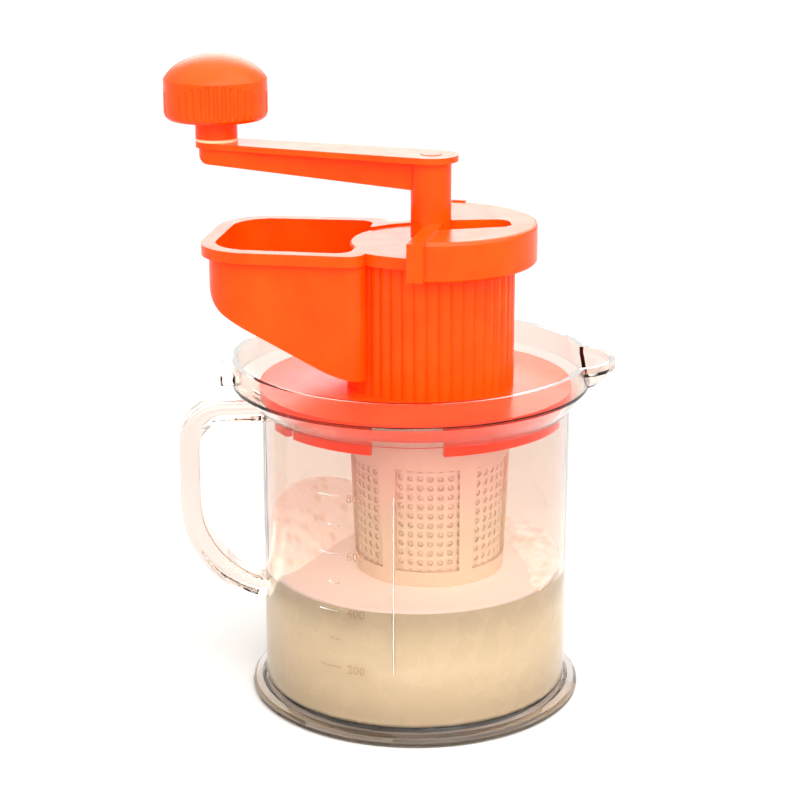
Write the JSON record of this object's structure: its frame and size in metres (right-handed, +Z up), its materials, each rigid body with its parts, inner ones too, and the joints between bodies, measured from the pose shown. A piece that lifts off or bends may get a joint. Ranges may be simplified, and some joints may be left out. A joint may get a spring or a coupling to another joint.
{
  "type": "hand crank blender",
  "caption": "Hand-cranked soy-milk grinder with scoop hopper and filter basket, standing in the flared collar of a clear spouted measuring jug.",
  "frame": {"origin": "centre of the jug's base, on the surface that it stands on", "axes": "+Z up along the jug; -X towards the hopper; the grinder's axis is 5.4 mm from the origin along +X"},
  "size_m": [0.1683, 0.1306, 0.234],
  "materials": {
    "clear_plastic": "clear, polished",
    "orange_plastic": "high gloss moulded",
    "nylon": "natural, satin",
    "stainless_steel": "turned and polished",
    "frosted_plastic": "translucent, frosted"
  },
  "bodies": {
    "jug": {"jug": "clear_plastic"},
    "grinder": {"grinder_body": "orange_plastic", "feed_cover": "orange_plastic", "shaft_bush": "nylon", "upper_burr": "stainless_steel", "burr_screws": "stainless_steel"},
    "half_cap": {"half_cap": "orange_plastic"},
    "crank": {"crank_arm": "orange_plastic", "crank_plug": "orange_plastic", "crank_screw": "stainless_steel", "crank_set_screw": "stainless_steel", "drive_shaft": "stainless_steel", "feed_auger": "nylon", "burr_drive_pin": "stainless_steel", "burr_spring": "stainless_steel", "knob_axle": "stainless_steel", "knob_washer": "nylon"},
    "knob": {"crank_knob": "orange_plastic"},
    "lower_burr": {"lower_burr": "stainless_steel", "burr_washer": "stainless_steel"},
    "adjusting_nut": {"adjusting_nut": "stainless_steel"},
    "basket": {"filter_basket": "frosted_plastic", "filter_mesh": "frosted_plastic"}
  },
  "joints": [
    {"name": "grinder_lift", "type": "slide", "parent": "jug", "child": "grinder", "axis": [0, 0, 1], "range_m": [0, 0.09]},
    {"name": "cap_slide", "type": "slide", "parent": "grinder", "child": "half_cap", "axis": [0.9976, -0.0698, 0], "range_m": [0, 0.045]},
    {"name": "crank_turn", "type": "hinge", "parent": "grinder", "child": "crank", "pos_m": [0.0054, 0, 0.16811], "axis": [0, 0, 1], "continuous": true},
    {"name": "knob_spin", "type": "hinge", "parent": "crank", "child": "knob", "pos_m": [-0.07674, 0.01896, 0.20811], "axis": [0, 0, 1], "continuous": true},
    {"name": "burr_drop", "type": "slide", "parent": "crank", "child": "lower_burr", "axis": [0, 0, -1], "range_m": [0, 0.00125]},
    {"name": "nut_turn", "type": "hinge", "parent": "lower_burr", "child": "adjusting_nut", "pos_m": [0.0054, 0, 0.10512], "axis": [0, 0, 1], "range_deg": [0, 360]},
    {"name": "basket_pull", "type": "slide", "parent": "grinder", "child": "basket", "axis": [0, 0, -1], "range_m": [0, 0.035]}
  ],
  "couplings": [
    {"joint": "nut_turn", "follows": "burr_drop", "rad_per_m": 5026.5}
  ]
}
